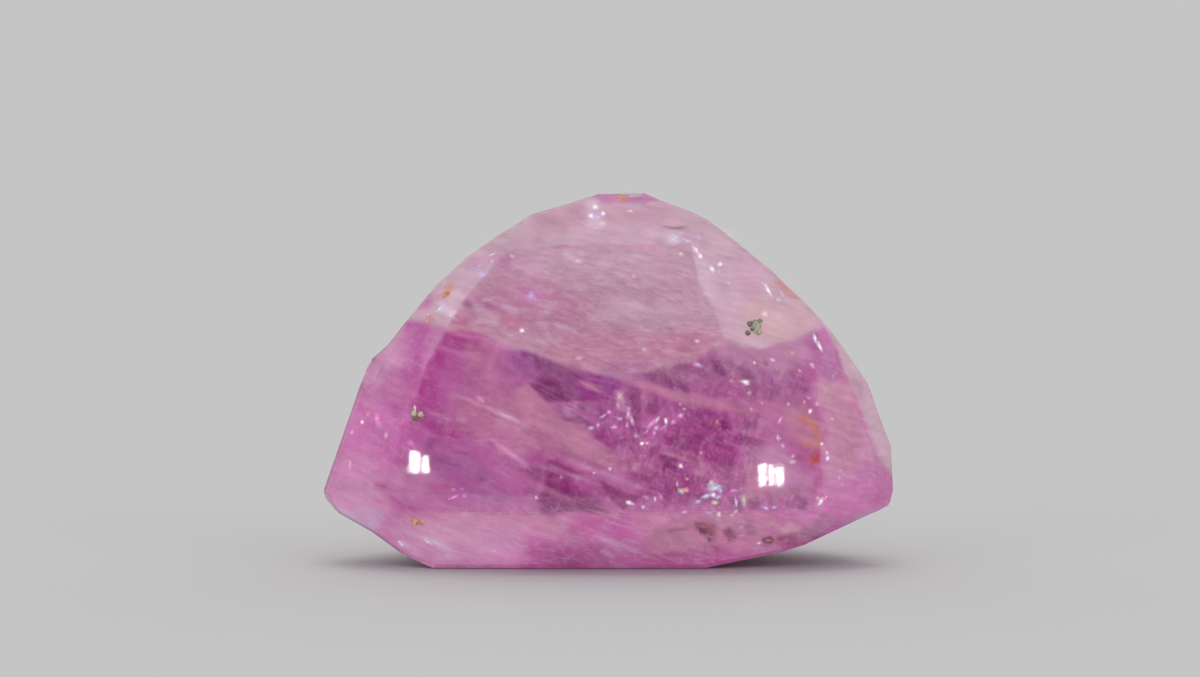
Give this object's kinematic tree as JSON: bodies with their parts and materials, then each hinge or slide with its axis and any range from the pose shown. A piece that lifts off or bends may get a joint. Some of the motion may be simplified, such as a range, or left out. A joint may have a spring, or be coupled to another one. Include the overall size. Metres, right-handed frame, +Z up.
{
  "type": "rough pink sapphire",
  "caption": "Semi-cut pink sapphire crystal with a domed polished window, bevelled crown, chipped girdle and natural back, standing on a flat base.",
  "frame": {"origin": "under the middle of the stone's box, on the surface it stands on", "axes": "+X along the stone's width, to the viewer's right; the window faces -Y; +Z up"},
  "size_m": [0.018, 0.0085, 0.0117],
  "materials": {
    "sapphire": "polished, milky and see-through on the window and crown, frosted on the natural back"
  },
  "bodies": {
    "root": {"sapphire": "sapphire"}
  },
  "joints": []
}
